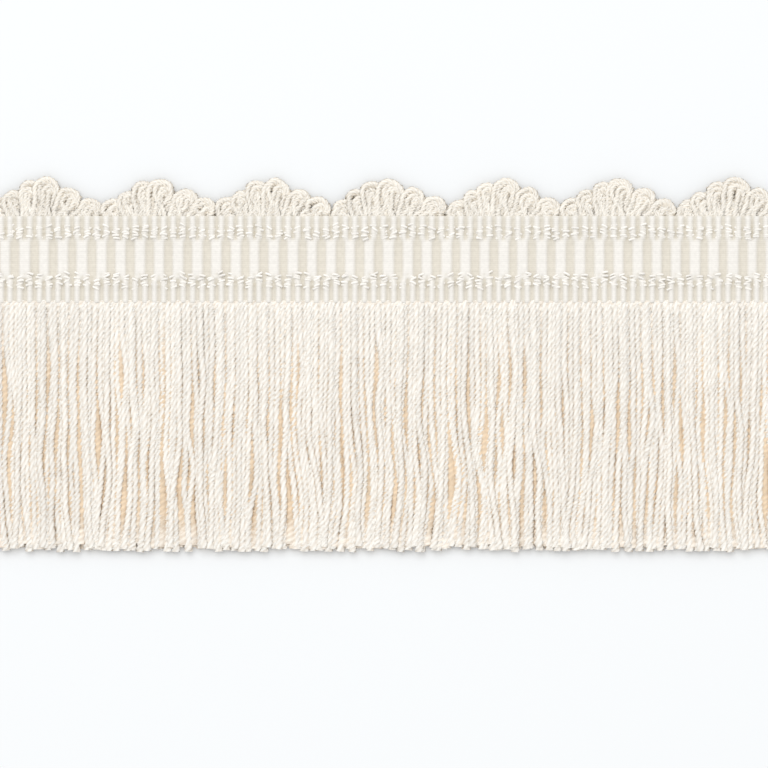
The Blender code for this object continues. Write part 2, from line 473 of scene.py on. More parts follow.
# each ramp: share of the yarn's length where it starts and ends, and its values there
# the PILE ramps fade the painted shade of the pile, the SIDE ramps that of the lower sides
PILE_BELOW_ROOT = (0.0, 0.4, 0.25, 1.0)
PILE_TO_FOOT = (0.82, 1.0, 1.0, 0.3)
SIDE_BELOW_ROOT = (0.0, 0.45, 0.2, 1.0)
SIDE_TO_FOOT = (0.88, 1.0, 1.0, 0.4)
FOOT_SPLAY = (0.94, 1.0)
# where the painted shade on a yarn's side starts above its core and is full below it, in diameters
SIDE_HEIGHTS = (-0.25, 0.15)


def make_yarn_group():
    """Sweeps a lobed section along each curve, turning as it goes."""
    tree, given, finish = new_tree(
        "Twisted yarn",
        "GeometryNodeTree",
        {
            "Curves": "geometry",
            "Diameter": "number",
            "Lay": "number",
            "Ring spacing": "number",
            "Points per ply": "count",
            "Groove": "number",
            "Flatness": "number",
            "Splay": "number",
            "Depth": "number",
            "Painted side shade": "number",
            "Seed": "count",
            "Material": "material",
        },
        {"Yarns": "geometry"},
    )
    inputs = {"Curve": given["Curves"], "Length": given["Ring spacing"]}
    rings = flow(tree, "GeometryNodeResampleCurve", inputs, mode="LENGTH")
    along = flow(tree, "GeometryNodeSplineParameter", output="Length")
    start = for_each_yarn(tree, 0.0, 1.0, given["Seed"])
    drift = along / given["Lay"] * UNEVEN_RATE
    uneven = centred_noise(tree, start * NOISE_STEP, drift) * UNEVEN_TWIST
    turn = (along / given["Lay"] + start + uneven) * math.tau
    twisted = flow(tree, "GeometryNodeSetCurveTilt", {"Curve": rings, "Tilt": turn})
    tone = for_each_yarn(tree, 0.0, 1.0, given["Seed"] + 1)
    twisted = store(tree, twisted, "tone", tone)
    twisted = store(tree, twisted, "core", height_of_point(tree))
    share = flow(tree, "GeometryNodeSplineParameter", output="Factor")
    # painted tan shade deep in the pile, fading in below the root and out at the foot
    pile = share.ramp(*PILE_BELOW_ROOT) * share.ramp(*PILE_TO_FOOT)
    twisted = store(tree, twisted, "depth", pile * given["Depth"])
    # painted tan shade on the yarn's lower sides
    side_shade_share = share.ramp(*SIDE_BELOW_ROOT) * share.ramp(*SIDE_TO_FOOT)
    twisted = store(tree, twisted, "side", side_shade_share * given["Painted side shade"])

    section = lobed_section(tree, given)
    flare = share.ramp(*FOOT_SPLAY) * given["Splay"] + 1.0
    inputs = {"Curve": twisted, "Profile Curve": section, "Scale": flare, "Fill Caps": True}
    yarns = flow(tree, "GeometryNodeCurveToMesh", inputs)
    core, depth, side = (
        flow(tree, "GeometryNodeInputNamedAttribute", {"Name": label}, data_type="FLOAT")
        for label in ("core", "depth", "side")
    )
    # how far a point lies below the core, which flattens the yarn and sets where its side is painted in
    # shade
    below = core - height_of_point(tree)
    lower_side = (below / given["Diameter"]).ramp(*SIDE_HEIGHTS)
    yarns = store(tree, yarns, "depth", depth + side * lower_side)
    sink = below * given["Flatness"]
    yarns = flow(tree, "GeometryNodeSetPosition", {"Geometry": yarns, "Offset": join(tree, z=sink)})
    for label in ("core", "side"):
        yarns = flow(tree, "GeometryNodeRemoveAttribute", {"Geometry": yarns, "Name": label})
    yarns = flow(tree, "GeometryNodeSetShadeSmooth", {"Geometry": yarns})
    yarns = flow(tree, "GeometryNodeRealizeInstances", {"Geometry": yarns})
    yarns = flow(tree, "GeometryNodeSetMaterial", {"Geometry": yarns, "Material": given["Material"]})
    finish("Yarns", yarns)
    return tree


yarn_group = make_yarn_group()
print("yarn group has", len(yarn_group.nodes), "nodes")

# %% [markdown]
# ## The yarn group in another tree
#
# The skirt's tree uses the yarn group as one of its nodes and has all of the group's inputs among its
# own. Each could be linked by hand, but linking those that share a name keeps the two in step.

# %% Yarn group in another tree
def add_yarns(tree, curves, given):
    """Places the yarn group in another tree and passes that tree's own inputs on to it."""
    made = tree.nodes.new("GeometryNodeGroup")
    made.node_tree = yarn_group
    plug(made.inputs["Curves"], curves)
    for socket in made.inputs:
        if socket.name in given:
            plug(socket, given[socket.name])
    return Flow(tree, made.outputs[0])


yarn_inputs = [item.name for item in yarn_group.interface.items_tree if item.in_out == "INPUT"]
print("a tree passes on:", ", ".join(yarn_inputs[1:]))

# %% [markdown]
# ## The skirt
#
# The skirt's yarns hang side by side in rows. They are packed tight under the heading, then stray: small
# bunches draw together and leave narrow slits between them, whole stretches lean to one side, and each
# yarn has a wobble and a lean of its own. A tree makes one row: straight lines are placed along the
# length, each point is moved by those rules, and the yarn group sweeps them.
#
# A bunch is a cell of a one-dimensional Voronoi texture, which gives the place of the cell's middle.
# Each yarn moves a share of the way there, so the yarns never change places within a bunch. Four layers
# of bunches, each tightest at its own distance down the skirt, open slits that are short and
# lens-shaped and lie at many heights.

# %% Bunches of the skirt
PARTINGS = (
    # width of a bunch in mm, where along the yarn it is tightest, how far from there it reaches, share
    # of the way to its middle that the outer yarns move, and how far it leans to one side in mm
    (1.9, 0.38, 0.18, 0.30, 0.16),
    (2.3, 0.56, 0.18, 0.32, 0.34),
    (2.8, 0.78, 0.20, 0.28, 0.38),
    (4.4, 1.00, 0.45, 0.06, 0.30),
)
BUNCH_UNEVENNESS = 0.85
BUNCH_SHIFT = 0.24
LAYER_STEP = 31.7


def bunch(tree, across, down, seed, width, tightest, reach, pull, lean):
    """How far a yarn moves towards the middle of its bunch, and to one side with it."""
    place = across / width + seed
    inputs = {"W": place, "Scale": 1.0, "Randomness": BUNCH_UNEVENNESS}
    middle = flow(tree, "ShaderNodeTexVoronoi", inputs, output="W", voronoi_dimensions="1D")
    own = flow(tree, "ShaderNodeTexWhiteNoise", {"W": middle}, output=0, noise_dimensions="1D")
    height = down + (own - 0.5) * BUNCH_SHIFT
    swell = height.ramp(tightest - reach, tightest) * height.ramp(tightest + reach, tightest)
    return ((middle - place) * width * pull * (own + 0.5) + (own - 0.5) * (2 * lean)) * swell


print(len(PARTINGS), "layers of bunches")

# %% [markdown]
# ## How a yarn strays
#
# A yarn's way along the trim is a sum of small moves. A random number for each point would make it
# shake, so smooth noise is used: noise over the root's place makes whole stretches lean together, and
# noise of the yarn's own makes it wobble. Each yarn also leans by a power of the distance down, so its
# upper half stays upright. The bunches come last.

# %% Way along the trim
ROOT_JITTER = 0.10
LEAN_POWER = 2.4
STRETCH_WIDTH = 10 * MM
STRETCH_RATE = 2.1
# what sets the noise of neighbouring yarns apart, and how often it changes down a yarn
WOBBLE_APART, WOBBLE_RATE = 7.31, 3.2
# shares of the length between which the wobble sets in
WOBBLE_RAMP = (0.1, 0.6)


def way_along(tree, given, number, down):
    """Where each point of a yarn lies along the trim."""
    seed = given["Seed"]
    jitter = for_each_yarn(tree, -ROOT_JITTER, ROOT_JITTER, seed + 2)
    root_x = given["Start"] + (number + jitter + 0.5) * given["Pitch"]

    stretch = root_x / STRETCH_WIDTH + given["Bunch seed"]
    stray = centred_noise(tree, stretch, down * STRETCH_RATE)
    wobble = centred_noise(tree, number * WOBBLE_APART + seed, down * WOBBLE_RATE, detail=1.0)
    lean = for_each_yarn(tree, -1.0, 1.0, seed + 3)
    x = (
        root_x
        + stray * given["Wander"] * down
        + wobble * given["Wobble"] * down.ramp(*WOBBLE_RAMP)
        + lean * given["Lean"] * down ** LEAN_POWER
    )
    for layer, (width, tightest, reach, pull, side) in enumerate(PARTINGS):
        layer_seed = given["Bunch seed"] + LAYER_STEP * layer
        moved = bunch(tree, root_x, down, layer_seed, width * MM, tightest, reach, pull, side * MM)
        x = x + moved * given["Parting"]
    return x


print("yarns of a stretch of", STRETCH_WIDTH / MM, "mm lean together")

# %% [markdown]
# ## How high a yarn lies
#
# A yarn comes out from below the heading, arches over its edge, lies on those below it and droops
# towards its cut end. Small swells of its own lift one yarn above the next here and there, which is what
# makes a row look laid and not printed.

# %% Way up from the floor
SWELL_APART, SWELL_RATE = 3.17, 2.5
# shares of the length between which the arch over the root, the droop and the swells set in
ARCH_RAMP = (0.0, 0.03)
DROOP_RAMP = (0.15, 1.0)
SWELL_RAMP = (0.0, 0.12)


def way_up(tree, given, number, down):
    """How high each point of a yarn lies."""
    seed = given["Seed"]
    lift = for_each_yarn(tree, -1.0, 1.0, seed + 5) * given["Height spread"]
    place = number * SWELL_APART + seed + NOISE_STEP
    swell = centred_noise(tree, place, down * SWELL_RATE) * given["Height spread"]
    arch = down.ramp(*ARCH_RAMP) * (given["Middle height"] - given["Root height"])
    droop = down.ramp(*DROOP_RAMP) * (given["Foot height"] - given["Middle height"])
    return given["Root height"] + arch + droop + (lift + swell) * down.ramp(*SWELL_RAMP)


print("a yarn droops from", DROOP_RAMP[0], "of its length on")

# %% [markdown]
# ## One row of the skirt
#
# The tree takes everything that differs from row to row as a named input: how many yarns, where they
# start, how high they lie at the root, the middle and the foot, and how much they stray. It lays out
# straight lines, moves their points by the two rules above, and sweeps them with the yarn group.

# %% Skirt tree
LINE_POINTS = 44


def make_skirt_tree():
    """One row of hanging yarns."""
    tree, given, finish = new_tree(
        "Skirt row",
        "GeometryNodeTree",
        {
            "Yarns": "count",
            "Start": "number",
            "Pitch": "number",
            "Root": "number",
            "Length": "number",
            "Uneven ends": "number",
            "Root height": "number",
            "Middle height": "number",
            "Foot height": "number",
            "Height spread": "number",
            "Parting": "number",
            "Wander": "number",
            "Wobble": "number",
            "Lean": "number",
            "Bunch seed": "number",
            "Diameter": "number",
            "Lay": "number",
            "Ring spacing": "number",
            "Points per ply": "count",
            "Groove": "number",
            "Flatness": "number",
            "Splay": "number",
            "Depth": "number",
            "Painted side shade": "number",
            "Seed": "count",
            "Material": "material",
        },
        {"Row": "geometry"},
    )
    points = flow(tree, "GeometryNodePoints", {"Count": given["Yarns"]})
    line = flow(tree, "GeometryNodeCurvePrimitiveLine", {"End": (0.0, -1.0, 0.0)})
    line = flow(tree, "GeometryNodeResampleCurve", {"Curve": line, "Count": LINE_POINTS}, mode="COUNT")
    lines = flow(tree, "GeometryNodeInstanceOnPoints", {"Points": points, "Instance": line})
    lines = flow(tree, "GeometryNodeRealizeInstances", {"Geometry": lines})

    index = flow(tree, "GeometryNodeInputIndex")
    number = flow(tree, "GeometryNodeFieldOnDomain", {0: index}, domain="CURVE")
    down = flow(tree, "GeometryNodeSplineParameter", output="Factor")
    ends = for_each_yarn(tree, -1.0, 1.0, given["Seed"] + 4) * given["Uneven ends"]
    x = way_along(tree, given, number, down)
    y = given["Root"] - down * (given["Length"] + ends)
    z = way_up(tree, given, number, down)
    hung = flow(tree, "GeometryNodeSetPosition", {"Geometry": lines, "Position": join(tree, x, y, z)})

    finish("Row", add_yarns(tree, hung, given))
    return tree


skirt_tree = make_skirt_tree()
print("skirt tree has", len(skirt_tree.nodes), "nodes")

# %% [markdown]
# ## Rows of the skirt
#
# Counting them in the photograph gives about 105 yarns to each 100 mm of the front. The front is
# made as two interleaved rows, so that each mesh stays light and every second yarn lies a little lower.
# Behind them are a middle row and a back row. The middle one lies close below the front and is painted
# in warm tan shade, since a slit in the real trim is warm and not grey, and it stays straight, so that
# it fills every slit. The back row is painted in that shade too.

# %% Rows of the skirt
SKIRT_YARNS = 145
YARN = 1.36
ROOT_TUCK = 0.25 * MM
FOOT_MARGIN = 0.35 * MM
# the hidden rows' root as a share of their middle height, and how much sooner they end
HIDDEN_ROOT = 0.92
HIDDEN_SHORTER = 0.5 * MM
yarn_pitch = trim_length / SKIRT_YARNS
root_y = heading_low.y + ROOT_TUCK
skirt_length = root_y - skirt_low.y - FOOT_MARGIN

skirt_values = {
    "Root": root_y,
    "Length": skirt_length,
    "Uneven ends": 0.55 * MM,
    "Diameter": YARN * MM,
    "Lay": 3.60 * MM,
    "Groove": 0.34,
    "Flatness": 0.38,
    "Splay": 0.22,
    # painted shade on the lower sides of the skirt yarns
    "Painted side shade": 0.9,
    "Material": finishes["skirt_yarn"],
    "Root height": 1.15 * MM,
    "Height spread": 0.05 * MM,
    "Parting": 1.0,
    "Wander": 1.5 * MM,
    "Wobble": 0.44 * MM,
    "Bunch seed": 3.0,
    "Lean": 0.60 * MM,
}
SKIRT_ROWS = {
    # name: yarns, offset in pitches, height of the middle and the foot, diameter and ring spacing in
    # mm, points per ply, painted shade, groove, seed
    "skirt_front_upper": (73, 0.0, 1.54, 1.00, YARN, 0.42, 3, 0.00, 0.34, 11),
    "skirt_front_lower": (72, 1.0, 1.50, 0.95, YARN, 0.42, 3, 0.02, 0.34, 12),
    # the middle and back rows are painted in warm tan shade
    "skirt_middle": (144, 0.5, 1.19, 0.71, 1.86, 0.50, 2, 0.92, 0.18, 13),
    "skirt_back": (118, 0.2, 0.52, 0.42, YARN, 1.00, 2, 0.90, 0.14, 14),
}
skirt_rows = []
for name, row in SKIRT_ROWS.items():
    yarns, offset, middle, foot, diameter, spacing, points, depth, groove, seed = row
    front = name.startswith("skirt_front")
    values = dict(skirt_values)
    values.update(
        {
            "Yarns": yarns,
            "Pitch": 2 * yarn_pitch if front else (trim_length - yarn_pitch) / yarns,
            "Start": trim_start + (offset - 0.5 if front else offset) * yarn_pitch,
            "Middle height": middle * MM,
            "Foot height": foot * MM,
            "Diameter": diameter * MM,
            "Ring spacing": spacing * MM,
            "Points per ply": points,
            "Depth": depth,
            "Groove": groove,
            "Seed": seed,
        }
    )
    if not front:
        values["Root height"] = HIDDEN_ROOT * middle * MM
        values["Parting"] = 0.0
        values["Length"] = skirt_length - HIDDEN_SHORTER
    skirt_rows.append(grow(name, skirt_tree, values))

# %% [markdown]
# ## Strays
#
# A few yarns lie on top of the others and cross them at a slant, as they do once a trim has been
# handled. They come from the same tree, with a higher middle and a larger lean.

# %% Strays
STRAYS = 36
stray_values = dict(skirt_values)
stray_values.update(
    {
        "Yarns": STRAYS,
        "Pitch": trim_length / STRAYS,
        "Start": trim_start,
        "Middle height": 1.72 * MM,
        "Foot height": 1.25 * MM,
        "Ring spacing": 0.44 * MM,
        "Points per ply": 3,
        "Depth": 0.0,
        "Seed": 15,
        "Lean": 2.4 * MM,
        "Wander": 1.2 * MM,
        "Wobble": 0.5 * MM,
    }
)
skirt_rows.append(grow("skirt_strays", skirt_tree, stray_values))

# %% [markdown]
# ## Heading cloth
#
# The heading is one woven band. Its face is fine thread, lying side by side from end to end and riding
# over cords below, which raise two bars in each rib near the edges and one wide satin rib in the middle.
# Small dents show where the binding goes down between two bars.
#
# A sheet like this could be displaced by a texture, but its heights follow short rules, so plain sums
# are clearer: a wave across the bars and the satin ribs, blended from one band to the next by a table,
# and a round dent for each hole.

# %% Heading profile
BAR_SPREAD, BAR_SHARPNESS = 0.06, 1.5
SATIN_SPREAD, SATIN_SHARPNESS = 0.09, 3.0
PINHOLE_RADIUS = 0.22
STAIR_BARS = 4
BINDING_STAIRS = (
    # distance of the first hole from the lower edge, drop from one bar to the next, in mm
    (13.00, 0.12),
    (12.10, 0.12),
    (11.30, 0.12),
    (4.90, 0.20),
    (4.00, 0.20),
    (3.10, 0.20),
)
BAND_ROWS = (
    # distance from the lower edge in mm, share of bars against satin, groove and crest height in mm
    (0.00, 1.0, 1.20, 1.62),
    (0.25, 1.0, 1.28, 1.80),
    (2.80, 1.0, 1.25, 1.80),
    (3.60, 1.0, 1.30, 1.75),
    (4.60, 0.0, 1.30, 1.60),
    (5.20, 0.0, 1.20, 1.62),
    (9.80, 0.0, 1.20, 1.62),
    (10.40, 0.0, 1.30, 1.60),
    (11.40, 1.0, 1.30, 1.75),
    (12.20, 1.0, 1.30, 1.80),
    (14.20, 1.0, 1.34, 1.80),
    (14.70, 1.0, 1.50, 1.80),
    (14.88, 1.0, 1.45, 1.72),
    (15.00, 1.0, 1.20, 1.45),
)


def band_value(y, column):
    """One column of the band table at a distance from the lower edge."""
    return np.interp(y, [row[0] for row in BAND_ROWS], [row[column] for row in BAND_ROWS])


def crest(across, count, sharpness, spread):
    """A wave from 0 in the grooves to 1 on the crests, with count crests in each rib."""
    wave = 0.5 - 0.5 * np.cos(math.tau * count * across)
    return np.clip((wave - 0.5 + spread) * sharpness + 0.5, 0.0, 1.0)


def pinholes(x, y):
    """1 in the holes where the binding goes down between two bars, and 0 away from them."""
    holes = np.zeros_like(x)
    pitch = bar_pitch / MM
    groove = np.round(x / pitch)
    for first, drop in BINDING_STAIRS:
        down = first - drop * (groove % STAIR_BARS)
        away = np.hypot(x - groove * pitch, y - down) / PINHOLE_RADIUS
        holes = np.maximum(holes, np.exp(-away * away))
    return holes


print("heading bands:", len(BAND_ROWS), "rows in the table,", len(BINDING_STAIRS), "stairs of holes")

# %% [markdown]
# ## The sheet of the heading
#
# The sheet is a grid over the heading's face, which closes round its edges to a flat back. A Solidify
# modifier would copy the ribs to the back as well, so the faces are listed instead: the face itself, the
# two long walls, the back, and one face for each cut end.

# %% Faces of a closed sheet
def closed_sheet_faces(columns, rows):
    """Faces of a grid of points that is closed to a flat back with two points for each column."""
    last = columns - 1

    def at(i, j):
        return i * rows + j

    def under(i, side):
        return columns * rows + 2 * i + side

    faces = [
        (at(i, j), at(i + 1, j), at(i + 1, j + 1), at(i, j + 1))
        for i in range(last)
        for j in range(rows - 1)
    ]
    for i in range(last):
        faces.append((under(i, 0), under(i + 1, 0), at(i + 1, 0), at(i, 0)))
        faces.append((at(i, rows - 1), at(i + 1, rows - 1), under(i + 1, 1), under(i, 1)))
        faces.append((under(i, 1), under(i + 1, 1), under(i + 1, 0), under(i, 0)))
    faces.append((under(0, 0), *[at(0, j) for j in range(rows)], under(0, 1)))
    faces.append((under(last, 1), *[at(last, j) for j in reversed(range(rows))], under(last, 0)))
    return faces


print("a sheet of 2 by 2 points has", len(closed_sheet_faces(2, 2)), "faces")

# %% [markdown]
# ## Threads and colour of the heading
#
# Each thread is a small ridge along the sheet. Two rows of points a thread are enough, because the
# shading is smooth. The grooves between bars and ribs and the pinholes get painted tan shade, as the
# yarns do, the line between two threads is painted a little darker, and each thread has a tone of its
# own.

# %% Heading cloth
COLUMNS_PER_RIB = 13
THREAD = 0.34
THREAD_RELIEF = 0.018
THREAD_UNEVENNESS = 0.010
# painted shade on the line between two threads
THREAD_GROOVE = 0.3
THREAD_TONES = (0.2, 0.8)
PINHOLE_DEPTH = 0.07
RIB_SHIFT = 0.03
RIB_SWELL = 0.07
# painted tan shade in the grooves of the bars, of the satin ribs and in the pinholes
BAR_PAINTED_SHADE = 0.78
SATIN_PAINTED_SHADE = 0.80
HOLE_PAINTED_SHADE = 0.5
# the back's tone, painted groove shade and painted tan shade, which also reach the long walls
BACK_TONE, BACK_GROOVE_SHADE, BACK_PAINTED_SHADE = 0.5, 0.5, 0.45
SHARP_ANGLE = math.radians(60)


def make_heading_cloth():
    """A closed sheet with a ribbed face of threads and a flat back."""
    chance = np.random.default_rng(8)
    width = (heading_high.y - heading_low.y) / MM
    columns = np.linspace(heading_low.x / MM, heading_high.x / MM, RIBS * COLUMNS_PER_RIB + 1)
    threads = int(width / THREAD)
    rows = np.linspace(0.0, width, 2 * threads + 1)
    x, y = np.meshgrid(columns, rows, indexing="ij")
    across = (x - trim_start / MM) / (rib_pitch / MM)
    rib = np.floor(across).astype(int).clip(0, RIBS - 1)
    shift = chance.uniform(-RIB_SHIFT, RIB_SHIFT, RIBS)[rib]
    swell = chance.uniform(-RIB_SWELL, RIB_SWELL, RIBS)[rib]
    bars = crest(across + shift, BARS_PER_RIB, BAR_SHARPNESS, BAR_SPREAD)
    panels = crest(across + shift + 0.5, 1, SATIN_SHARPNESS, SATIN_SPREAD + swell)
    share = band_value(y, 1)
    raised = share * bars + (1 - share) * panels
    low, high = band_value(y, 2), band_value(y, 3)
    thread = np.arange(len(rows)) // 2
    thread_lift = chance.uniform(-THREAD_UNEVENNESS, THREAD_UNEVENNESS, thread.max() + 1)[thread]
    ridge = (np.arange(len(rows)) % 2) * THREAD_RELIEF + thread_lift
    holes = pinholes(x - trim_start / MM, y)
    z = low + (high - low) * raised + ridge - PINHOLE_DEPTH * holes
    place = np.stack([x, y + heading_low.y / MM, z], axis=-1).reshape(-1, 3)
    back = [(cx, heading_low.y / MM + cy, 0.0) for cx in columns for cy in (0.0, width)]
    points = np.concatenate([place, np.array(back)]) * MM

    mesh = bpy.data.meshes.new("heading_cloth")
    mesh.from_pydata(points.tolist(), [], closed_sheet_faces(len(columns), len(rows)))
    mesh.shade_smooth()
    mesh.set_sharp_from_angle(angle=SHARP_ANGLE)
    spare = len(mesh.vertices) - raised.size
    thread_tone = chance.uniform(*THREAD_TONES, thread.max() + 1)[thread]
    # painted shade: the row between two threads counts as a groove
    between = (np.arange(len(rows)) % 2 == 0) * THREAD_GROOVE
    # how strong the painted tan shade is in the grooves of the bars and of the satin ribs
    painted_shade_share = BAR_PAINTED_SHADE * share + SATIN_PAINTED_SHADE * (1 - share)

    def with_back(face, back_value):
        return np.append(np.broadcast_to(face, raised.shape).ravel(), np.full(spare, back_value))

    # tone, and painted shade in the grooves, the pinholes and on the back
    written = {
        "tone": with_back(thread_tone, BACK_TONE),
        "groove": with_back(between, BACK_GROOVE_SHADE),
        "depth": with_back((1 - raised) * painted_shade_share + holes * HOLE_PAINTED_SHADE, BACK_PAINTED_SHADE),
    }
    for label, values in written.items():
        attribute = mesh.attributes.new(label, "FLOAT", "POINT")
        attribute.data.foreach_set("value", values.astype(np.float32))
    mesh.materials.append(finishes["heading_weave"])
    piece = bpy.data.objects.new("heading_cloth", mesh)
    bpy.context.scene.collection.objects.link(piece)
    return piece


heading_cloth = make_heading_cloth()
print("heading cloth:", len(heading_cloth.data.polygons), "faces")

# %% [markdown]
# ## Binding stitches
#
# Thicker thread binds the satin ribs to the bars above and below them. The stitches lie in ranks, so a
# point is made for each by counting bars across and rows down. A stair input drops every next bar's rows
# a little, which gives the stepped edge.

# %% Places of the stitches
# added before a number is rounded down, because a whole number can come out a hair too low
ROUNDING = 0.001


def stitch_points(tree, given):
    """One point for each stitch, moved a little from its place in the ranks."""
    total = given["Bars"] * given["Rows"]
    index = flow(tree, "GeometryNodeInputIndex")
    bar = (index / given["Rows"] + ROUNDING).maths("FLOOR")
    row = index - bar * given["Rows"]
    inputs = {0: (-1.0, -1.0, -1.0), 1: (1.0, 1.0, 1.0), 8: given["Seed"]}
    shift = flow(tree, "FunctionNodeRandomValue", inputs, data_type="FLOAT_VECTOR")
    parts = add_node(tree, "ShaderNodeSeparateXYZ", {0: shift})
    wide, down, up = (Flow(tree, parts.outputs[axis]) * given["Unevenness"] for axis in range(3))
    stair = (bar / given["Stair steps"] + ROUNDING).maths("FRACT") * given["Stair steps"]
    x = (bar + 0.5 - given["Bars"] / 2) * given["Bar pitch"] + wide
    y = given["First row"] - row * given["Row pitch"] - stair * given["Stair drop"] + down
    z = given["Base height"] + up
    return flow(tree, "GeometryNodePoints", {"Count": total, "Position": join(tree, x, y, z)})


print("stairs go down over", STAIR_BARS, "bars")

# %% [markdown]
# ## Arch of a stitch
#
# Each stitch is a short arch of thread over one bar. It could be drawn as a curve by hand, but a line
# bent by a sine takes its width, rise and bow from named inputs.

# %% Arch of a stitch
ARCH_POINTS = 7


def stitch_arch(tree, given):
    """The path of one stitch, from one side of a bar over to the other."""
    line = flow(tree, "GeometryNodeCurvePrimitiveLine", {"End": (1.0, 0.0, 0.0)})
    line = flow(tree, "GeometryNodeResampleCurve", {"Curve": line, "Count": ARCH_POINTS}, mode="COUNT")
    share = flow(tree, "GeometryNodeSplineParameter", output="Factor")
    side = ((share - 0.5) * math.pi).maths("SINE")
    rise = (side.maths("ABSOLUTE") ** given["Squareness"] * -1.0 + 1.0) * given["Rise"]
    bow = (side * side * -1.0 + 1.0) * given["Bow"]
    place = join(tree, side * given["Width"] / 2, bow, rise)
    return flow(tree, "GeometryNodeSetPosition", {"Geometry": line, "Position": place})


print("an arch has", ARCH_POINTS, "points")

# %% [markdown]
# ## Stitches on their places
#
# The tree puts an arch on each point and sweeps a thin round thread along it. Each stitch is turned and
# stretched a little, and a few are left out, so that a row reads as small knots and not as rungs.

# %% Stitch tree
SECTION_POINTS = 5
STITCH_TONES = (0.6, 2.5)
STITCH_LENGTHS = (0.86, 1.06)


def make_stitch_tree():
    """Rows of short thread arches over each bar."""
    tree, given, finish = new_tree(
        "Threads over bars",
        "GeometryNodeTree",
        {
            "Bars": "count",
            "Bar pitch": "number",
            "Rows": "count",
            "Row pitch": "number",
            "First row": "number",
            "Stair steps": "number",
            "Stair drop": "number",
            "Width": "number",
            "Base height": "number",
            "Rise": "number",
            "Squareness": "number",
            "Thread": "number",
            "Unevenness": "number",
            "Bow": "number",
            "Share kept": "number",
            "Skew": "number",
            "Depth": "number",
            "Seed": "count",
            "Material": "material",
        },
        {"Threads": "geometry"},
    )

    def draw(low, high, step):
        inputs = {2: low, 3: high, 8: given["Seed"] + step}
        return flow(tree, "FunctionNodeRandomValue", inputs, output=1)

    turn = draw(-1.0, 1.0, 2)
    size = draw(*STITCH_LENGTHS, 3)
    kept = draw(0.0, 1.0, 4).maths("LESS_THAN", given["Share kept"])
    inputs = {
        "Points": stitch_points(tree, given),
        "Selection": kept,
        "Instance": stitch_arch(tree, given),
        "Rotation": join(tree, z=turn * given["Skew"]),
        "Scale": join(tree, size, 1.0, 1.0),
    }
    arches = flow(tree, "GeometryNodeInstanceOnPoints", inputs)
    inputs = {"Geometry": arches, "Name": "tone", "Value": draw(*STITCH_TONES, 1)}
    arches = flow(tree, "GeometryNodeStoreNamedAttribute", inputs, data_type="FLOAT", domain="INSTANCE")
    arches = flow(tree, "GeometryNodeRealizeInstances", {"Geometry": arches})
    inputs = {"Resolution": SECTION_POINTS, "Radius": given["Thread"] / 2}
    section = flow(tree, "GeometryNodeCurvePrimitiveCircle", inputs)
    inputs = {"Curve": arches, "Profile Curve": section, "Fill Caps": True}
    threads = flow(tree, "GeometryNodeCurveToMesh", inputs)
    threads = store(tree, threads, "depth", given["Depth"])
    threads = flow(tree, "GeometryNodeSetShadeSmooth", {"Geometry": threads})
    threads = flow(tree, "GeometryNodeRealizeInstances", {"Geometry": threads})
    inputs = {"Geometry": threads, "Material": given["Material"]}
    finish("Threads", flow(tree, "GeometryNodeSetMaterial", inputs))
    return tree


stitch_tree = make_stitch_tree()
print("stitch tree has", len(stitch_tree.nodes), "nodes")

# %% [markdown]
# ## The two bindings
#
# Both bindings are laid with the same stitch. They differ in their place and in how steeply they step
# down from bar to bar, which was measured on the photograph. Their bars are counted from the ribs, so
# each stitch sits on a bar of the sheet.

# %% Bindings
STITCH = {
    "Bars": RIBS * BARS_PER_RIB,
    "Bar pitch": bar_pitch,
    "Rows": 5,
    "Stair steps": float(STAIR_BARS),
    "Width": 0.94 * MM,
    "Base height": 1.52 * MM,
    "Rise": 0.16 * MM,
    "Squareness": 2.0,
    "Thread": 0.44 * MM,
    "Unevenness": 0.24 * MM,
    "Bow": 0.04 * MM,
    "Share kept": 0.94,
    "Skew": math.radians(32.0),
    "Depth": 0.0,
    "Material": finishes["heading_weave"],
}
BINDINGS = {
    # name: pitch of the rows, first row above the heading's lower edge and drop for each bar in mm, seed
    "upper_binding": (0.45, 13.30, 0.12, 24),
    "lower_binding": (0.48, 5.05, 0.20, 25),
}
bindings = []
for name, (row_pitch, first, drop, seed) in BINDINGS.items():
    values = {
        **STITCH,
        "Row pitch": row_pitch * MM,
        "First row": heading_low.y + first * MM,
        "Stair drop": drop * MM,
        "Seed": seed,
    }
    bindings.append(grow(name, stitch_tree, values))

# %% [markdown]
# ## Scalloped loops
#
# Each scallop is six loops of twisted yarn, short at its ends and tall in the middle. A loop goes up
# from the heading, round its tip and back, with three more yarns nested inside it. Its feet are pulled
# together, so the loops stand like a fan and every second nested yarn crosses its own legs low down.
#
# The paths could be drawn by hand, but a small table with one row for each loop is enough to work them
# out. Each point is then moved a little at random, because evenly nested rings look like wire.

# %% Loop paths
LOOPS = (
    # all in mm from the scallop's valley and the heading's edge: left and right foot, tip's middle,
    # tip's width, height, and how far each next inner yarn's tip lies to the right and below
    (0.2, 4.4, 2.20, 4.4, 3.05, 0.10, 0.1),
    (3.6, 6.6, 4.70, 4.0, 4.50, 0.10, 0.2),
    (5.8, 8.8, 7.30, 4.2, 5.95, 0.10, 0.2),
    (7.6, 12.0, 10.30, 4.9, 6.65, 0.25, 0.1),
    (11.0, 14.6, 14.20, 4.5, 4.85, 0.25, 0.1),
    (14.0, 18.8, 17.70, 4.6, 3.30, 0.15, 0.1),
)
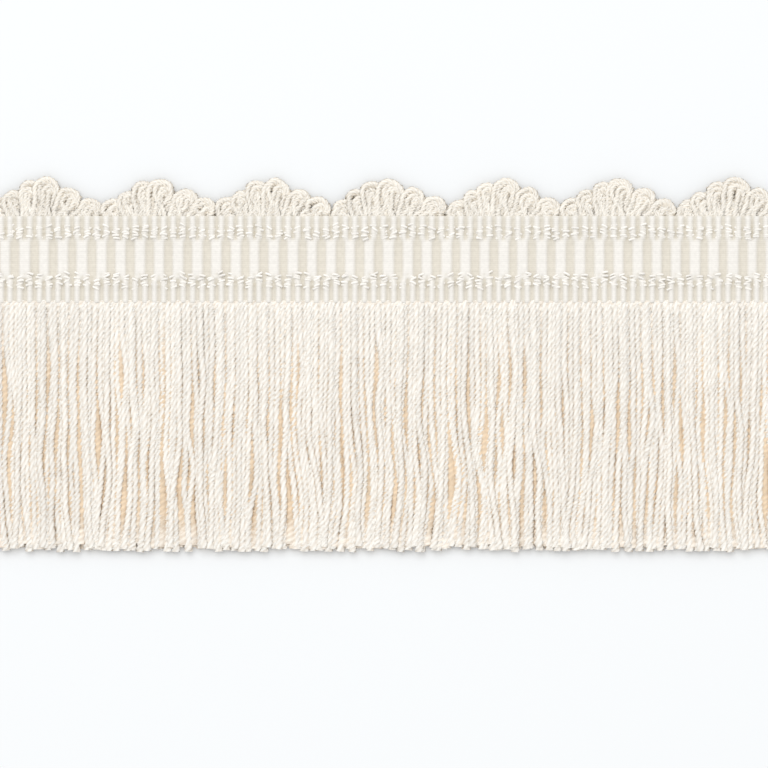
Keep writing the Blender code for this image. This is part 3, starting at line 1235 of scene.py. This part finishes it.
# the rest is in mm, apart from counts and shares
LOOP_YARN = 0.95
NEST_STEP = 0.50
NEST_COUNT = 4
CROSSING = 0.8
TIP_INSET, FOOT_INSET = 0.45 * LOOP_YARN, 0.4 * LOOP_YARN
UNDER_SHORTER = 0.3
LEAST_HALF_WIDTH, LEAST_LEG = 0.18, 0.35
TIP_ROUNDNESS = 0.95
LOOP_SLACK, FOOT_SLACK, HEIGHT_SLACK = 0.25, 0.1, 0.06
LOOP_REACH = -0.45
LOOP_HEIGHT, UNDER_DROP, NEST_DROP, LEG_TILT = 1.02, 0.16, 0.01, 0.14
LOOP_KINK = (0.22, 0.22, 0.06)
ARC_STEPS = 7
LEG_STEPS = 5


def loop_path(row, nest, under, chance):
    """Points of one yarn of a loop, in mm.

    Nest counts from the outer yarn in, and under is 1 in the layer below.
    """
    left, right, middle, width, height, aside, below = row
    inset = TIP_INSET + NEST_STEP * nest
    half = max(width / 2 - inset, LEAST_HALF_WIDTH)
    top = height - inset - below * nest - UNDER_SHORTER * under + chance.uniform(-1, 1) * LOOP_SLACK
    middle = middle + aside * nest + chance.uniform(-1, 1) * LOOP_SLACK
    feet_middle = (left + right) / 2
    feet_half = (right - left) / 2 - FOOT_INSET
    feet_half *= 1 - nest / NEST_COUNT
    if nest % 2 and not under:
        feet_half = -feet_half * CROSSING
    arc_y = max(top - half * TIP_ROUNDNESS, LEAST_LEG)

    def leg(side, lift):
        made = []
        foot = feet_middle + side * feet_half + chance.uniform(-FOOT_SLACK, FOOT_SLACK)
        for step in range(LEG_STEPS):
            share = step / LEG_STEPS
            ease = share * share * (3 - 2 * share)
            x = foot + (middle + side * half - foot) * ease
            made.append((x, LOOP_REACH + (arc_y - LOOP_REACH) * share, lift))
        return made

    base = LOOP_HEIGHT - UNDER_DROP * under - NEST_DROP * nest
    base += chance.uniform(-HEIGHT_SLACK, HEIGHT_SLACK)
    points = leg(-1, base + LEG_TILT)
    for step in range(ARC_STEPS):
        angle = math.pi * (1 - step / (ARC_STEPS - 1))
        x = middle + half * math.cos(angle)
        y = arc_y + (top - arc_y) * math.sin(angle)
        points.append((x, y, base - LEG_TILT * math.cos(angle)))
    points += reversed(leg(1, base - LEG_TILT))
    return [
        tuple(value + chance.uniform(-1, 1) * kink for value, kink in zip(point, LOOP_KINK))
        for point in points
    ]


print("a scallop has", len(LOOPS) * NEST_COUNT, "looped yarns in each layer")

# %% [markdown]
# ## Loops in two layers
#
# The paths of all the scallops become smooth curves, which the yarn group sweeps. A second layer of
# shorter, thicker and plainer yarns lies below the first, is painted in some warm tan shade, and fills
# the gaps between the loops.

# %% Loops
def make_loop_curves(under):
    """One layer of the loops of all the scallops, as one curve object's data."""
    chance = np.random.default_rng(5)
    data = bpy.data.curves.new("loop_paths", "CURVE")
    data.dimensions = "3D"
    for scallop in range(scallops):
        valley = trim_start / MM + scallop * scallop_length / MM
        for row, nest in itertools.product(LOOPS, range(NEST_COUNT)):
            path = loop_path(row, nest, under, chance)
            spline = data.splines.new("NURBS")
            spline.points.add(len(path) - 1)
            for point, (x, y, z) in zip(spline.points, path):
                place = (valley + x, heading_high.y / MM + y, z)
                point.co = (*[value * MM for value in place], 1.0)
            spline.order_u = 3
            spline.use_endpoint_u = True
            spline.resolution_u = 3
    return data


LOOP_LAYERS = {
    # name: 1 for the layer below, diameter in mm, flatness, points per ply, painted shade, seed
    # the layer below is painted in some warm tan shade
    "scallop_fill": (1, 1.62, 0.55, 2, 0.30, 30),
    "scallop_loops": (0, 1.08, 0.62, 3, 0.0, 31),
}
loop_layers = []
for name, (under, diameter, flatness, points, depth, seed) in LOOP_LAYERS.items():
    curves = make_loop_curves(under)
    values = {
        "Diameter": diameter * MM,
        "Lay": 2.3 * MM,
        "Ring spacing": 0.31 * MM,
        "Points per ply": points,
        "Groove": 0.52,
        "Flatness": flatness,
        "Splay": 0.0,
        # painted shade on the lower sides of the loop yarns
        "Painted side shade": 0.45,
        "Depth": depth,
        "Seed": seed,
        "Material": finishes["loop_yarn"],
    }
    loop_layers.append(grow(name, yarn_group, values, source=curves))

# %% [markdown]
# ## Floor and light
#
# The trim is lit evenly, with almost no shadow but a faint one below the cut ends, so the light is a
# bright even sky with one large soft lamp a little behind the scallops. The floor is stage, so it isn't
# part of the trim.

# %% Floor and light
SKY = 0.89
LAMP_POWER = 17.0
LAMP_SIZE = 1.6
LAMP_PLACE = (-0.30, 0.90, 1.60)
LAMP_TURN = (math.radians(-29), math.radians(-10), 0)
FLOOR_COLOUR = (0.785, 0.80, 0.81, 1.0)
FLOOR_SIZE = 4.0
FLOOR_DROP = 0.05 * MM

floor_material = bpy.data.materials.new("white_table")
floor_material.use_nodes = True
floor_shader = floor_material.node_tree.nodes["Principled BSDF"]
floor_shader.inputs["Base Color"].default_value = FLOOR_COLOUR
floor_shader.inputs["Roughness"].default_value = 0.9
floor_shader.inputs["Specular IOR Level"].default_value = 0.0

bpy.ops.mesh.primitive_plane_add(size=FLOOR_SIZE, location=(0, 0, -FLOOR_DROP))
floor = bpy.context.object
floor.name = "table"
floor.data.materials.append(floor_material)

lamp_data = bpy.data.lights.new("soft_lamp", "AREA")
lamp_data.energy = LAMP_POWER
lamp_data.size = LAMP_SIZE
lamp = bpy.data.objects.new("soft_lamp", lamp_data)
lamp.location = LAMP_PLACE
lamp.rotation_euler = LAMP_TURN
bpy.context.scene.collection.objects.link(lamp)

world = bpy.data.worlds.new("studio_sky")
world.use_nodes = True
world.node_tree.nodes["Background"].inputs["Color"].default_value = (1.0, 1.0, 1.0, 1.0)
world.node_tree.nodes["Background"].inputs["Strength"].default_value = SKY
bpy.context.scene.world = world
bpy.context.scene.view_settings.view_transform = "Standard"
print("sky", SKY, "lamp", LAMP_POWER, "W")

# %% [markdown]
# ## Hand the pieces over
#
# Every piece rides on the trim's one body, and the solid that it stands for is hidden. The heading
# cloth is woven 15 mm wide and laid flat, and the bindings, the loops and the skirt ride on the same
# body.

# %% Hand over
for piece in skirt_rows:
    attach(piece, "root")
    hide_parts("fringe")
for piece in (heading_cloth, *bindings):
    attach(piece, "root")
    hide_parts("heading")
for piece in loop_layers:
    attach(piece, "root")
    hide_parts("scallop_edge")
print("handed over:", 1 + len(bindings) + len(loop_layers) + len(skirt_rows), "pieces")
